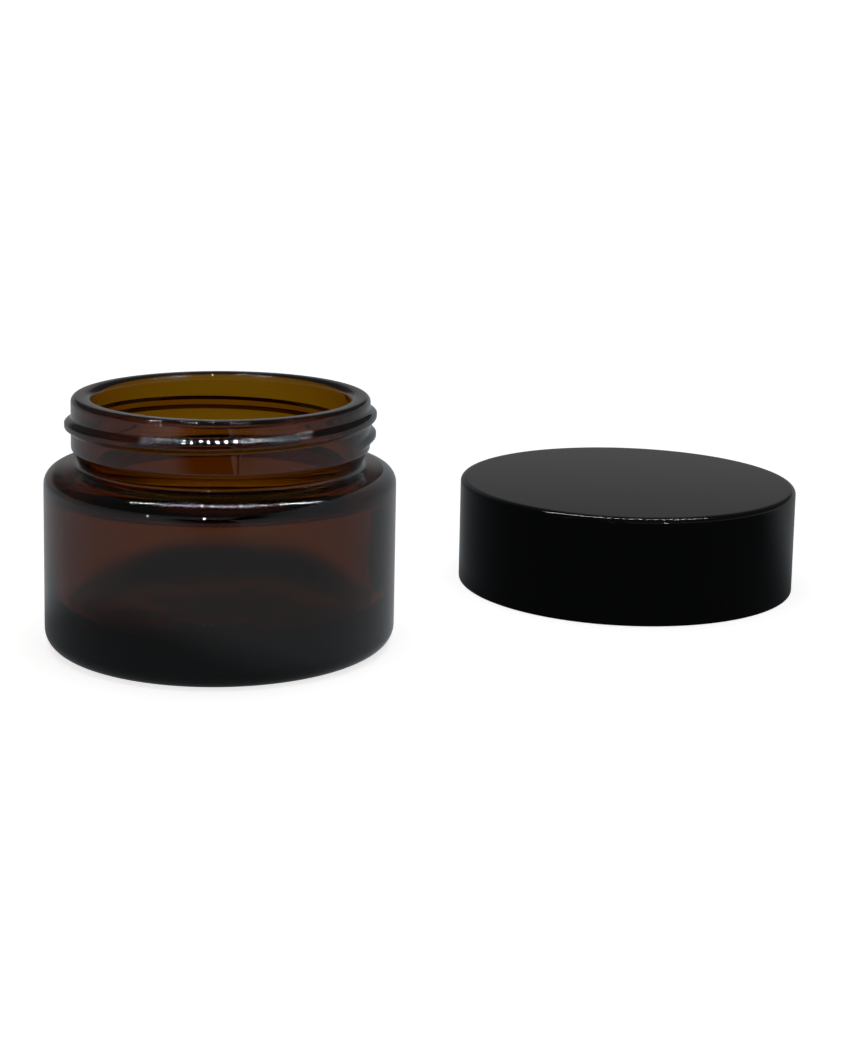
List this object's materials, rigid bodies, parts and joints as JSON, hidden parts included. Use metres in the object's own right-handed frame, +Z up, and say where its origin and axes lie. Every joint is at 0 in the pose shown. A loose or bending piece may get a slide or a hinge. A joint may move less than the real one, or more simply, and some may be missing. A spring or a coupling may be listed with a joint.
{
  "type": "cosmetic cream jar",
  "caption": "Open amber glass cream jar with a threaded neck, and its smooth black screw lid lying beside it, open side down.",
  "frame": {"origin": "centre of the jar's base, on the jar's axis, in the plane of the surface that the jar and the lid stand on", "axes": "+Z up along the jar's axis, out of its mouth; +X to the right, towards the lid; +Y towards the back"},
  "size_m": [0.1381, 0.1023, 0.0427],
  "materials": {
    "amber_glass": "clear amber soda-lime glass, fire-polished",
    "black_shell": "smooth satin-gloss black",
    "black_insert": "as-moulded black",
    "white_foam": "soft closed-cell foam with a smooth skin"
  },
  "bodies": {
    "jar": {"glass_jar": "amber_glass"},
    "wad": {"liner_wad": "white_foam"},
    "lid": {"lid_shell": "black_shell", "lid_insert": "black_insert"}
  },
  "joints": [
    {"name": "lid_carry", "type": "slide", "parent": "jar", "child": "wad", "axis": [-0.4617, -0.2442, 0.8527], "range_m": [0, 0.16418]},
    {"name": "lid_turn", "type": "hinge", "parent": "wad", "child": "lid", "pos_m": [0.0758, 0.0401, 0], "axis": [0, 0, 1], "continuous": true}
  ]
}
